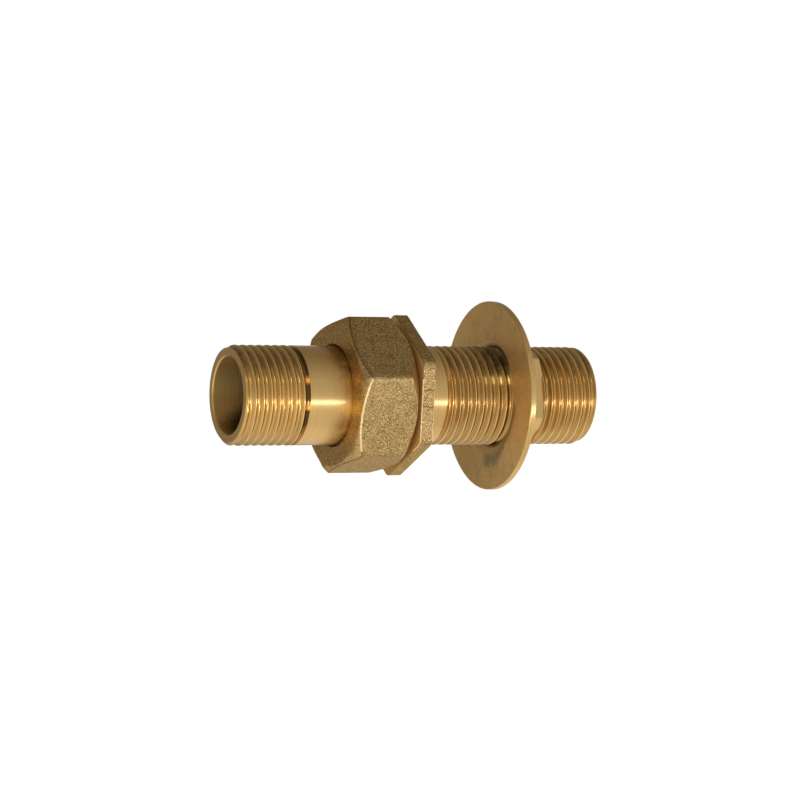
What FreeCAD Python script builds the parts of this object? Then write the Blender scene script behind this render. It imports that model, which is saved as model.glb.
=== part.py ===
"""Tank connector with a union tail: tailpiece, union nut, washer, body and flange nut.

The bore runs along X and the tailpiece is at -X. The origin is on the bore's axis, in the face of the
body's hexagon that bears on the tank wall. Sizes are in millimetres and angles in degrees. Threads are
plain cylinders at their crests; the reliefs, chamfers and countersinks that end them are cut.
"""
import FreeCAD, Part
import math
import os
import Sketcher

SHEET = "sizes"

DRIVING = {
    # tailpiece
    "tail_thread_dia": 20.84,
    "tail_thread_length": 13.25,
    "tail_end_drop": 0.57,
    "tail_end_chamfer": 0.8,
    "tail_groove_depth": 0.97,
    "tail_groove_width": 0.9,
    "tail_shank_dia": 20.76,
    "tail_shank_length": 12.05,
    "tail_collar_clearance": 0.9,
    "tail_collar_thickness": 1.8,
    "tail_bore_dia": 16.2,
    "tail_bore_chamfer": 0.25,
    # union washer
    "washer_clearance": 1.1,
    "washer_bore_step": 0.4,
    "washer_thickness": 2.0,
    # union nut
    "nut_wall": 1.8,
    "nut_corner_radius": 1.3,
    "nut_corner_angle": 48.0,
    "nut_hexagon_gap": 0.75,
    "nut_lip_thickness": 2.5,
    "nut_lip_gap": 0.1,
    "nut_hole_clearance": 0.2,
    "nut_hole_chamfer": 0.35,
    "nut_tail_face_step": 0.05,
    "nut_tail_chamfer_angle": 30.0,
    "nut_body_face_step": 0.1,
    "nut_body_chamfer_angle": 45.0,
    "nut_thread_chamfer": 0.6,
    # body
    "union_thread_dia": 26.3,
    "union_thread_clearance": 0.05,
    "union_spigot_length": 7.25,
    "union_end_chamfer": 0.8,
    "union_relief_depth": 1.05,
    "union_relief_width": 1.2,
    "hexagon_shoulder": 1.75,
    "hexagon_corner_radius": 1.6,
    "hexagon_corner_angle": 36.0,
    "hexagon_thickness": 3.0,
    "neck_dia": 20.9,
    "neck_length": 5.0,
    "shank_thread_dia": 20.955,
    "shank_thread_length": 36.1,
    "shank_end_drop": 0.5775,
    "shank_end_chamfer": 0.8,
    "body_bore_dia": 15.8,
    "body_bore_chamfer": 0.3,
    # flange nut
    "grip_length": 19.85,
    "flange_dia": 40.2,
    "flange_thickness": 1.25,
    "flange_edge_chamfer": 0.12,
    "flange_thread_clearance": 0.05,
    "flange_countersink_width": 1.4725,
    "flange_countersink_depth": 0.5,
    "boss_wall": 0.7225,
    "boss_corner_radius": 0.5,
    "boss_corner_angle": 22.5,
    "boss_height": 6.3,
    "boss_corner_trim": 1.3,
    "boss_chamfer_angle": 25.0,
    "boss_countersink_depth": 0.6725,
}

DERIVED = {
    "centre_line": "0",
    # stations along the bore
    "hexagon_seat": "0",
    "hexagon_union_face": "-hexagon_thickness",
    "union_relief_end": "hexagon_union_face - union_relief_width",
    "union_seat": "hexagon_union_face - union_spigot_length",
    "union_crest_start": "union_seat + union_end_chamfer",
    "union_bore_start": "union_seat + body_bore_chamfer",
    "washer_tail_face": "union_seat - washer_thickness",
    "tail_bore_inner": "washer_tail_face - tail_bore_chamfer",
    "collar_face": "washer_tail_face - tail_collar_thickness",
    "groove_inner": "collar_face - tail_shank_length",
    "groove_outer": "groove_inner - tail_groove_width",
    "tail_end": "groove_outer - tail_thread_length",
    "tail_crest_start": "tail_end + tail_end_chamfer",
    "tail_bore_start": "tail_end + tail_bore_chamfer",
    "lip_inner": "collar_face - nut_lip_gap",
    "nut_tail_face": "lip_inner - nut_lip_thickness",
    "nut_hole_start": "nut_tail_face + nut_hole_chamfer",
    "nut_body_face": "hexagon_union_face - nut_hexagon_gap",
    "nut_length": "nut_body_face - nut_tail_face",
    "nut_thread_end": "nut_body_face - nut_thread_chamfer",
    "shank_end": "neck_length + shank_thread_length",
    "shank_crest_end": "shank_end - shank_end_chamfer",
    "body_bore_end": "shank_end - body_bore_chamfer",
    "flange_face": "grip_length",
    "flange_face_edge": "flange_face + flange_edge_chamfer",
    "flange_back": "flange_face + flange_thickness",
    "flange_back_edge": "flange_back - flange_edge_chamfer",
    "boss_reach": "flange_thickness + boss_height",
    "boss_face": "flange_face + boss_reach",
    # radii of the tailpiece and the washer
    "tail_crest": "tail_thread_dia / 2",
    "tail_end_edge": "tail_crest - tail_end_drop",
    "tail_groove": "tail_crest - tail_groove_depth",
    "tail_shank": "tail_shank_dia / 2",
    "tail_collar": "nut_thread - tail_collar_clearance",
    "tail_bore": "tail_bore_dia / 2",
    "tail_bore_mouth": "tail_bore + tail_bore_chamfer",
    "washer_outer": "nut_thread - washer_clearance",
    "washer_inner": "tail_bore + washer_bore_step",
    # radii and cones of the union nut
    "nut_flat": "nut_thread + nut_wall",
    "nut_corner": "2 * nut_flat / sqrt(3)",
    "nut_half_corner": "nut_corner / 2",
    "nut_clear": "nut_corner + 1",
    "nut_tail_edge": "nut_flat - nut_tail_face_step",
    "nut_tail_cone": "nut_tail_face + (nut_clear - nut_tail_edge) * tan(nut_tail_chamfer_angle)",
    "nut_body_edge": "nut_flat - nut_body_face_step",
    "nut_body_cone": "nut_body_face - (nut_clear - nut_body_edge) * tan(nut_body_chamfer_angle)",
    "nut_hole": "tail_shank + nut_hole_clearance",
    "nut_hole_mouth": "nut_hole + nut_hole_chamfer",
    "nut_thread": "union_crest + union_thread_clearance",
    "nut_thread_mouth": "nut_thread + nut_thread_chamfer",
    # radii of the body
    "union_crest": "union_thread_dia / 2",
    "union_end_edge": "union_crest - union_end_chamfer",
    "union_relief": "union_crest - union_relief_depth",
    "hexagon_flat": "union_crest + hexagon_shoulder",
    "hexagon_corner": "2 * hexagon_flat / sqrt(3)",
    "hexagon_half_corner": "hexagon_corner / 2",
    "neck": "neck_dia / 2",
    "shank_crest": "shank_thread_dia / 2",
    "shank_end_edge": "shank_crest - shank_end_drop",
    "body_bore": "body_bore_dia / 2",
    "body_bore_mouth": "body_bore + body_bore_chamfer",
    # radii and cones of the flange nut
    "flange_rim": "flange_dia / 2",
    "flange_rim_edge": "flange_rim - flange_edge_chamfer",
    "flange_thread": "shank_crest + flange_thread_clearance",
    "flange_mouth": "flange_thread + flange_countersink_width",
    "flange_countersink_end": "flange_face + flange_countersink_depth",
    "boss_flat": "flange_thread + boss_wall",
    "boss_corner": "2 * boss_flat / sqrt(3)",
    "boss_half_corner": "boss_corner / 2",
    "boss_clear": "boss_corner + 1",
    "boss_edge": "boss_corner - boss_corner_trim",
    "boss_cone": "boss_face - (boss_clear - boss_edge) * tan(boss_chamfer_angle)",
    "boss_mouth": "flange_thread + boss_countersink_depth",
    "boss_countersink_start": "boss_face - boss_countersink_depth",
}


def fill_sheet(doc):
    """Write the driving sizes and the stations and radii that follow from them."""
    sheet = doc.addObject("Spreadsheet::Sheet", SHEET)
    rows = [(name, str(value)) for name, value in DRIVING.items()]
    rows += [(name, "=" + formula) for name, formula in DERIVED.items()]
    for row, (name, _) in enumerate(rows, start=1):
        sheet.set(f"A{row}", name)
        sheet.setAlias(f"B{row}", name)
    for row, (_, content) in enumerate(rows, start=1):
        sheet.set(f"B{row}", content)
    doc.recompute()
    return sheet


class Piece:
    """One sub-part: a body whose sketches are pinned to the sheet's values."""

    def __init__(self, doc, sheet, name):
        self.doc = doc
        self.sheet = sheet
        self.body = doc.addObject("PartDesign::Body", name)
        self.body.Label = name

    def value(self, name):
        """Return a sheet value, negated when its name is written with a leading minus."""
        number = float(self.sheet.get(name.lstrip("-")))
        return -number if name.startswith("-") else number

    def expression(self, name):
        """Return the expression that reads a sheet value, with its sign."""
        sign = "-" if name.startswith("-") else ""
        return f"{sign}{SHEET}.{name.lstrip('-')}"

    def outline(self, title, plane, corners):
        """Draw a closed outline on one of the body's own planes, each corner pinned to two sheet values."""
        sketch = self.body.newObject("Sketcher::SketchObject", title)
        support = next(item for item in self.body.Origin.OriginFeatures if item.Role == plane)
        sketch.AttachmentSupport = [(support, "")]
        sketch.MapMode = "FlatFace"
        points = [FreeCAD.Vector(self.value(across), self.value(up), 0) for across, up in corners]
        count = len(points)
        for index in range(count):
            sketch.addGeometry(Part.LineSegment(points[index], points[(index + 1) % count]), False)
        for index in range(count):
            sketch.addConstraint(Sketcher.Constraint("Coincident", index, 2, (index + 1) % count, 1))
        for index, (across, up) in enumerate(corners):
            for direction, name in (("DistanceX", across), ("DistanceY", up)):
                pin = Sketcher.Constraint(direction, -1, 1, index, 1, self.value(name))
                number = sketch.addConstraint(pin)
                sketch.setExpression(f"Constraints[{number}]", self.expression(name))
        self.doc.recompute()
        return sketch

    def turn(self, title, corners):
        """Add the solid that an outline makes when it is turned about the bore's axis."""
        sketch = self.outline(title + "_outline", "XZ_Plane", corners)
        feature = self.body.newObject("PartDesign::Revolution", title)
        feature.Profile = sketch
        feature.ReferenceAxis = (sketch, ["H_Axis"])
        feature.Angle = 360
        self.body.Tip = feature
        self.doc.recompute()
        return feature

    def bore(self, title, corners):
        """Cut away what an outline sweeps when it is turned about the bore's axis."""
        before = self.body.Shape.Volume
        sketch = self.outline(title + "_outline", "XZ_Plane", corners)
        feature = self.body.newObject("PartDesign::Groove", title)
        feature.Profile = sketch
        feature.ReferenceAxis = (sketch, ["H_Axis"])
        feature.Angle = 360
        self.body.Tip = feature
        self.doc.recompute()
        if not self.body.Shape.Volume < before:
            raise RuntimeError(f"{title} removed nothing")
        return feature

    def hexagon(self, title, stem, start, length):
        """Add a hexagonal bar along the bore, its corners rounded and turned by the stem's corner angle."""
        corner, half, flat = f"{stem}_corner", f"{stem}_half_corner", f"{stem}_flat"
        corners = [
            (corner, "centre_line"),
            (half, flat),
            (f"-{half}", flat),
            (f"-{corner}", "centre_line"),
            (f"-{half}", f"-{flat}"),
            (half, f"-{flat}"),
        ]
        sketch = self.outline(title + "_outline", "YZ_Plane", corners)
        sketch.setExpression("AttachmentOffset.Base.z", self.expression(start))
        sketch.setExpression("AttachmentOffset.Rotation.Angle", self.expression(f"{stem}_corner_angle"))
        self.doc.recompute()
        bar = self.body.newObject("PartDesign::Pad", title)
        bar.Profile = sketch
        bar.setExpression("Length", self.expression(length))
        self.body.Tip = bar
        self.doc.recompute()
        rounding = self.body.newObject("PartDesign::Fillet", title + "_corners")
        rounding.Base = (bar, self.corner_edges(bar, self.value(corner)))
        rounding.setExpression("Radius", self.expression(f"{stem}_corner_radius"))
        self.body.Tip = rounding
        self.doc.recompute()
        return rounding

    def corner_edges(self, bar, radius):
        """Return the names of a bar's six long edges, which lie at its corner radius."""
        names = []
        for number, edge in enumerate(bar.Shape.Edges, start=1):
            ends = [vertex.Point for vertex in edge.Vertexes]
            along = len(ends) == 2 and abs(ends[0].x - ends[1].x) > 0.9 * edge.Length
            if along and all(abs(math.hypot(end.y, end.z) - radius) < 1e-4 for end in ends):
                names.append(f"Edge{number}")
        if len(names) != 6:
            raise RuntimeError(f"{bar.Label} has {len(names)} long edges")
        return names


def make_tailpiece(doc, sheet):
    """Tube with a male thread, a relief groove, a plain shank and the collar the nut pulls on."""
    piece = Piece(doc, sheet, "tailpiece")
    piece.turn(
        "tail_tube",
        [
            ("tail_end", "tail_bore_mouth"),
            ("tail_end", "tail_end_edge"),
            ("tail_crest_start", "tail_crest"),
            ("groove_outer", "tail_crest"),
            ("groove_outer", "tail_groove"),
            ("groove_inner", "tail_groove"),
            ("groove_inner", "tail_shank"),
            ("collar_face", "tail_shank"),
            ("collar_face", "tail_collar"),
            ("washer_tail_face", "tail_collar"),
            ("washer_tail_face", "tail_bore_mouth"),
            ("tail_bore_inner", "tail_bore"),
            ("tail_bore_start", "tail_bore"),
        ],
    )
    return piece.body


def make_washer(doc, sheet):
    """Flat sealing ring between the collar and the body's union seat."""
    piece = Piece(doc, sheet, "union_washer")
    piece.turn(
        "ring",
        [
            ("washer_tail_face", "washer_inner"),
            ("washer_tail_face", "washer_outer"),
            ("union_seat", "washer_outer"),
            ("union_seat", "washer_inner"),
        ],
    )
    return piece.body


def make_union_nut(doc, sheet):
    """Hexagon nut with a lip behind the collar, turned at both ends."""
    piece = Piece(doc, sheet, "union_nut")
    piece.hexagon("nut_bar", "nut", "nut_tail_face", "nut_length")
    piece.bore(
        "tail_end_cone",
        [
            ("nut_tail_face", "nut_tail_edge"),
            ("nut_tail_cone", "nut_clear"),
            ("nut_tail_face", "nut_clear"),
        ],
    )
    piece.bore(
        "body_end_cone",
        [
            ("nut_body_face", "nut_body_edge"),
            ("nut_body_face", "nut_clear"),
            ("nut_body_cone", "nut_clear"),
        ],
    )
    piece.bore(
        "nut_bore",
        [
            ("nut_tail_face", "centre_line"),
            ("nut_tail_face", "nut_hole_mouth"),
            ("nut_hole_start", "nut_hole"),
            ("lip_inner", "nut_hole"),
            ("lip_inner", "nut_thread"),
            ("nut_thread_end", "nut_thread"),
            ("nut_body_face", "nut_thread_mouth"),
            ("nut_body_face", "centre_line"),
        ],
    )
    return piece.body


def make_connector_body(doc, sheet):
    """Hexagon with the union spigot on one side and the neck and long thread on the other, bored through."""
    piece = Piece(doc, sheet, "connector_body")
    piece.hexagon("body_bar", "hexagon", "hexagon_union_face", "hexagon_thickness")
    piece.turn(
        "spigot_and_shank",
        [
            ("union_seat", "centre_line"),
            ("union_seat", "union_end_edge"),
            ("union_crest_start", "union_crest"),
            ("union_relief_end", "union_crest"),
            ("union_relief_end", "union_relief"),
            ("hexagon_seat", "union_relief"),
            ("hexagon_seat", "neck"),
            ("neck_length", "neck"),
            ("neck_length", "shank_crest"),
            ("shank_crest_end", "shank_crest"),
            ("shank_end", "shank_end_edge"),
            ("shank_end", "centre_line"),
        ],
    )
    piece.bore(
        "body_waterway",
        [
            ("union_seat", "centre_line"),
            ("union_seat", "body_bore_mouth"),
            ("union_bore_start", "body_bore"),
            ("body_bore_end", "body_bore"),
            ("shank_end", "body_bore_mouth"),
            ("shank_end", "centre_line"),
        ],
    )
    return piece.body


def make_flange_nut(doc, sheet):
    """Round flange with a hexagon boss behind it, countersunk at both ends of its thread."""
    piece = Piece(doc, sheet, "flange_nut")
    piece.hexagon("boss_bar", "boss", "flange_face", "boss_reach")
    piece.bore(
        "boss_end_cone",
        [
            ("boss_face", "boss_edge"),
            ("boss_face", "boss_clear"),
            ("boss_cone", "boss_clear"),
        ],
    )
    piece.turn(
        "flange",
        [
            ("flange_face", "centre_line"),
            ("flange_face", "flange_rim_edge"),
            ("flange_face_edge", "flange_rim"),
            ("flange_back_edge", "flange_rim"),
            ("flange_back", "flange_rim_edge"),
            ("flange_back", "centre_line"),
        ],
    )
    piece.bore(
        "flange_bore",
        [
            ("flange_face", "centre_line"),
            ("flange_face", "flange_mouth"),
            ("flange_countersink_end", "flange_thread"),
            ("boss_countersink_start", "flange_thread"),
            ("boss_face", "boss_mouth"),
            ("boss_face", "centre_line"),
        ],
    )
    return piece.body


def write_parts(doc, bodies):
    """Check every object and write one STEP file per sub-part."""
    doc.recompute()
    for item in doc.Objects:
        if "Invalid" in item.State or "Error" in item.State:
            raise RuntimeError(f"{item.Label}: {item.State}")
    os.makedirs("parts", exist_ok=True)
    for body in bodies:
        shape = body.Shape
        if shape.isNull() or not shape.isValid() or len(shape.Solids) != 1:
            raise RuntimeError(f"{body.Label} is not one valid solid")
        shape.exportStep(f"parts/{body.Label}.step")
        box = shape.BoundBox
        print(f"{body.Label}: {shape.Volume:.1f} mm3, x {box.XMin:.2f} to {box.XMax:.2f}")


def main():
    """Build the five sub-parts and write them out."""
    doc = FreeCAD.newDocument("tank_connector")
    sheet = fill_sheet(doc)
    makers = (make_tailpiece, make_washer, make_union_nut, make_connector_body, make_flange_nut)
    write_parts(doc, [make(doc, sheet) for make in makers])


main()
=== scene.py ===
"""Tank connector in turned and forged brass: its dressed pieces, their finishes and the studio round them."""
import logging
import math
from dataclasses import dataclass
from enum import Enum
from functools import reduce
from typing import Callable, Sequence, Union

import bmesh
import bpy
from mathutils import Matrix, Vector


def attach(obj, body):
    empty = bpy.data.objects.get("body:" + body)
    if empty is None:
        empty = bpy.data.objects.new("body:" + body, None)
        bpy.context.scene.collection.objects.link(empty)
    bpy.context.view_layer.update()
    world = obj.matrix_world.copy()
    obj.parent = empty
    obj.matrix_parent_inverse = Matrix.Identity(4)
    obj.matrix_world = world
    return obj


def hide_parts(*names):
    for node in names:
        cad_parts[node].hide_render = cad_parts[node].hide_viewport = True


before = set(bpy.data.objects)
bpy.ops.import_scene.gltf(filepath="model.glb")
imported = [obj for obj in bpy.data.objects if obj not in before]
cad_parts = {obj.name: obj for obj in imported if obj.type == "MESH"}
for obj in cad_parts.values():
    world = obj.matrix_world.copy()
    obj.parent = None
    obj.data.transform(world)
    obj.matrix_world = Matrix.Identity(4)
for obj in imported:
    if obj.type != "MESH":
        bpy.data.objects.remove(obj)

LOG = logging.getLogger("tank_connector")
MM = 0.001
TOUCH = 2e-6
PITCH = 1.814286 * MM
TRIM_CUTS = 6
TRIM_STEP = 0.012
SHARP_ANGLE = math.radians(24)
SMOOTH_ANGLE = math.radians(40)
# Band of heights where the rounded forged edges get a painted highlight over their real wear; above and below
# it they get painted shade.
HIGHLIT_LOW = -11.5 * MM
HIGHLIT_HIGH = 3.6 * MM
WASHER_FACE = -12.25 * MM
UNION_SEAT = -10.25 * MM
UNION_CREST_STATION = -8.0 * MM

Colour = tuple[float, float, float]
Span = tuple[float, float]
Place = Callable[[float], tuple[float, float]]
Curve = Callable[[float], float]
Edge = bmesh.types.BMEdge
Edges = Sequence[Edge]
Material = bpy.types.Material
Socket = bpy.types.NodeSocket
Value = Union[Socket, float]
Tint = Union[Socket, Colour]


class Surface(Enum):
    """How a face of a brass piece was left by its maker, and where light or shade is painted on its edges."""

    TURNED = 0
    FORGED = 1
    FACED = 2
    BORED = 3
    THREADED = 4
    # Rounded forged edges: real wear, lightened further as a painted highlight where they face the lamps.
    WORN = 5
    CROWNED = 6
    GROOVED = 7
    # Rounded forged edges outside that band, darkened as painted shade.
    EDGED = 8


@dataclass(frozen=True)
class Hexagon:
    """Outline of a hexagonal bar about the bore, with rounded corners."""

    flat: float
    corner_radius: float
    corner_angle: float
    crowding: float = 0.11

    def radius(self, angle: float) -> float:
        """Give the outline's distance from the axis.

        Args:
            angle: direction about the bore in radians, from +Y towards +Z.

        Returns:
            The distance in metres.
        """
        sector = math.radians(60)
        from_corner = (angle - math.radians(self.corner_angle) + sector / 2) % sector - sector / 2
        from_flat = sector / 2 - abs(from_corner)
        centre = (self.flat - self.corner_radius) / math.cos(sector / 2)
        tangent = math.atan2((self.flat - self.corner_radius) * math.tan(sector / 2), self.flat)
        if from_flat <= tangent:
            return self.flat / math.cos(from_flat)
        off = centre * math.sin(from_corner)
        return centre * math.cos(from_corner) + math.sqrt(self.corner_radius**2 - off**2)

    def at(self, x: float) -> Place:
        """Give the outline's place at one station."""
        return lambda angle: (x, self.radius(angle))

    def crown(self, face: float, edge: float, cone: float) -> Place:
        """Give the edge where the flats meet the cone that is turned at one end.

        Args:
            face: station of the end's face.
            edge: radius of that face.
            cone: the cone's slope in degrees, with a minus sign at an end that faces +X.

        Returns:
            The edge's station and radius by direction.
        """
        slope = math.tan(math.radians(cone))
        return lambda angle: (face + slope * (self.radius(angle) - edge), self.radius(angle))

    def crowd(self, angle: float) -> float:
        """Shift an even direction towards the nearest corner, so that the corners get more points."""
        return angle - self.crowding * math.sin(6 * (angle - math.radians(self.corner_angle)))


@dataclass(frozen=True)
class Thread:
    """Right-hand parallel pipe thread between two stations of the bore's axis."""

    crest: float
    depth: float
    start: float
    end: float
    crest_station: float
    inside: bool = False

    def profile(self) -> list[tuple[float, float]]:
        """Give one pitch of the thread as (share of the pitch from a crest, share of the depth)."""
        half = [(0.03, 0.0), (0.05, 0.045), (0.29, 0.79), (0.34, 0.9), (0.395, 0.965), (0.45, 0.995)]
        rising = [(1 - along, deep) for along, deep in reversed(half)]
        return [(0.0, 0.0), *half, *rising]

    def radius(self, deep: float) -> float:
        """Give the radius at a share of the depth."""
        return self.crest + deep * self.depth if self.inside else self.crest - deep * self.depth


class Rings:
    """A piece that is grown as rings about the bore's axis and closed into one shell."""

    def __init__(self, steps: int) -> None:
        """Start an empty mesh.

        Args:
            steps: points in each ring.
        """
        self.mesh = bmesh.new()
        self.steps = steps
        self.threaded = self.mesh.faces.layers.int.new("threaded")

    @staticmethod
    def at(x: float, radius: float) -> Place:
        """Give a round ring's place at one station."""
        return lambda angle: (x, radius)

    @staticmethod
    def put(vert: bmesh.types.BMVert, angle: float, x: float, radius: float) -> None:
        """Move a point to a station, radius and direction."""
        vert.co = (x, radius * math.cos(angle), radius * math.sin(angle))

    def ring(self, place: Place, spread: Curve = lambda angle: angle) -> list[Edge]:
        """Add a loose ring.

        Args:
            place: station and radius by direction.
            spread: shift of each even direction, to crowd points at corners.

        Returns:
            The ring's edges.
        """
        made = bmesh.ops.create_circle(self.mesh, cap_ends=False, radius=1.0, segments=self.steps)
        for vert in made["verts"]:
            angle = spread(math.atan2(vert.co.y, vert.co.x))
            self.put(vert, angle, *place(angle))
        return list({edge for vert in made["verts"] for edge in vert.link_edges})

    def rim(self, x: float) -> list[Edge]:
        """Find the open edges that lie in one station.

        Args:
            x: the station.

        Returns:
            The open edges there.
        """
        return [
            edge
            for edge in self.mesh.edges
            if len(edge.link_faces) == 1 and all(abs(vert.co.x - x) < TOUCH for vert in edge.verts)
        ]

    def grow(self, edges: Edges, place: Place, surface: Surface) -> list[Edge]:
        """Extrude a ring and set its copy in place.

        Args:
            edges: the ring that the wall starts from.
            place: station and radius of the new ring by direction.
            surface: how the wall is left.

        Returns:
            The new ring's edges.
        """
        made = bmesh.ops.extrude_edge_only(self.mesh, edges=list(edges))["geom"]
        verts = {item for item in made if isinstance(item, bmesh.types.BMVert)}
        for vert in verts:
            angle = math.atan2(vert.co.z, vert.co.y)
            self.put(vert, angle, *place(angle))
        for item in made:
            if isinstance(item, bmesh.types.BMFace):
                item.material_index = surface.value
        return [item for item in made if isinstance(item, Edge) and set(item.verts) <= verts]

    def run(self, edges: Edges, *walls: tuple[float, float, Surface]) -> list[Edge]:
        """Grow several round walls one after another.

        Args:
            edges: the ring that the first wall starts from.
            walls: station and radius of each wall's far ring, and how the wall is left.

        Returns:
            The last ring's edges.
        """
        for x, radius, surface in walls:
            edges = self.grow(edges, self.at(x, radius), surface)
        return list(edges)

    def mouth(self, edges: Edges, x: float, bore: float, chamfer: float) -> list[Edge]:
        """Face a tube's end and chamfer its bore there.

        Args:
            edges: the ring that the face starts from.
            x: the end's station.
            bore: the bore's radius.
            chamfer: the chamfer's width, with a minus sign at an end that faces +X.

        Returns:
            The ring where the bore starts.
        """
        wall = Surface.TURNED
        return self.run(edges, (x, bore + abs(chamfer), wall), (x + chamfer, bore, wall))

    def join(self, one: Edges, other: Edges, surface: Surface) -> None:
        """Bridge two rings.

        Args:
            one: the first ring's edges.
            other: the second ring's edges.
            surface: how the wall between them is left.
        """
        made = bmesh.ops.bridge_loops(self.mesh, edges=[*one, *other])
        for face in made["faces"]:
            face.material_index = surface.value

    def thread(self, thread: Thread, limit: Curve, fade: Curve = lambda x: 1.0) -> None:
        """Sweep a thread's profile along its helix and trim it square at both ends.

        Args:
            thread: the thread's sizes.
            limit: radius that the crests can't pass at a station, where the end is chamfered or countersunk.
            fade: share of the depth that is cut at a station, where the thread runs out.
        """
        sleeve = bmesh.new()
        first = thread.crest_station - PITCH * math.ceil((thread.crest_station - thread.start) / PITCH + 2)
        turns = math.ceil((thread.end - first) / PITCH) + 2
        verts = [
            sleeve.verts.new((first + (turn + along) * PITCH, -thread.radius(deep), 0))
            for turn in range(turns)
            for along, deep in thread.profile()
        ]
        edges = [sleeve.edges.new(pair) for pair in zip(verts, verts[1:])]
        bmesh.ops.spin(
            sleeve,
            geom=[*verts, *edges],
            cent=(0, 0, 0),
            axis=(1, 0, 0),
            dvec=(PITCH / self.steps, 0, 0),
            angle=math.tau,
            steps=self.steps,
            use_merge=False,
        )
        bmesh.ops.remove_doubles(sleeve, verts=sleeve.verts, dist=TOUCH)
        near = [count * TRIM_STEP for count in range(TRIM_CUTS)]
        for share in [*near, *(1 - cut for cut in reversed(near))]:
            bmesh.ops.bisect_plane(
                sleeve,
                geom=[*sleeve.verts, *sleeve.edges, *sleeve.faces],
                dist=1e-7,
                plane_co=(thread.start + share * (thread.end - thread.start), 0, 0),
                plane_no=(1, 0, 0),
                clear_inner=share == 0.0,
                clear_outer=share == 1.0,
            )
        for vert in sleeve.verts:
            angle = math.atan2(vert.co.z, vert.co.y)
            radius = math.hypot(vert.co.y, vert.co.z)
            radius = thread.crest + (radius - thread.crest) * fade(vert.co.x)
            edge = limit(vert.co.x)
            self.put(vert, angle, vert.co.x, max(radius, edge) if thread.inside else min(radius, edge))
        layer = sleeve.faces.layers.int.new("threaded")
        for face in sleeve.faces:
            face[layer] = 1
            face.material_index = Surface.THREADED.value
        self.take(sleeve)

    def take(self, other: bmesh.types.BMesh) -> None:
        """Take over another mesh's faces.

        Args:
            other: the mesh to take; it is spent afterwards.
        """
        part = bpy.data.meshes.new("taken")
        other.to_mesh(part)
        other.free()
        self.mesh.from_mesh(part)
        bpy.data.meshes.remove(part)
        self.threaded = self.mesh.faces.layers.int["threaded"]

    def soften(
        self, width: float, segments: int = 2, keep: Callable[[Edge], bool] = lambda edge: True
    ) -> None:
        """Round the edges that the tool left sharp, apart from those of a thread.

        Args:
            width: width of the rounding.
            segments: facets across it.
            keep: which of the sharp edges are rounded.
        """
        bmesh.ops.remove_doubles(self.mesh, verts=self.mesh.verts, dist=TOUCH)
        bmesh.ops.dissolve_degenerate(self.mesh, edges=self.mesh.edges, dist=TOUCH / 4)
        bmesh.ops.recalc_face_normals(self.mesh, faces=self.mesh.faces)
        edges = [
            edge
            for edge in self.mesh.edges
            if len(edge.link_faces) == 2
            and edge.calc_face_angle(0.0) > SHARP_ANGLE
            and not any(face[self.threaded] for face in edge.link_faces)
            and keep(edge)
        ]
        made = bmesh.ops.bevel(
            self.mesh,
            geom=edges,
            offset=width,
            offset_type="OFFSET",
            segments=segments,
            profile=0.5,
            affect="EDGES",
            clamp_overlap=True,
            material=-1,
        )
        # Painted highlight on the rounded forged edges within the band of heights, painted shade on them
        # outside it.
        for face in made["faces"]:
            if face.material_index in (Surface.FORGED.value, Surface.CROWNED.value):
                highlit = HIGHLIT_LOW < face.calc_center_median().z < HIGHLIT_HIGH
                face.material_index = (Surface.WORN if highlit else Surface.EDGED).value

    def piece(self, name: str, materials: Sequence[Material]) -> bpy.types.Object:
        """Make the finished object.

        Args:
            name: the object's name.
            materials: one material for each kind of surface, in their order.

        Returns:
            The object, in place in the part's frame.
        """
        mesh = bpy.data.meshes.new(name)
        for face in self.mesh.faces:
            face.smooth = True
        self.mesh.to_mesh(mesh)
        self.mesh.free()
        mesh.set_sharp_from_angle(angle=SMOOTH_ANGLE)
        for material in materials:
            mesh.materials.append(material)
        piece = bpy.data.objects.new(name, mesh)
        bpy.context.scene.collection.objects.link(piece)
        normals = piece.modifiers.new("even_normals", "WEIGHTED_NORMAL")
        normals.keep_sharp = True
        normals.weight = 80
        return piece


@dataclass(frozen=True)
class Patch:
    """Soft patches on a finish: noise, and the span of it that maps on a share."""

    scale: float
    detail: float
    rough: float
    span: Span
    share: Span


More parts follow.
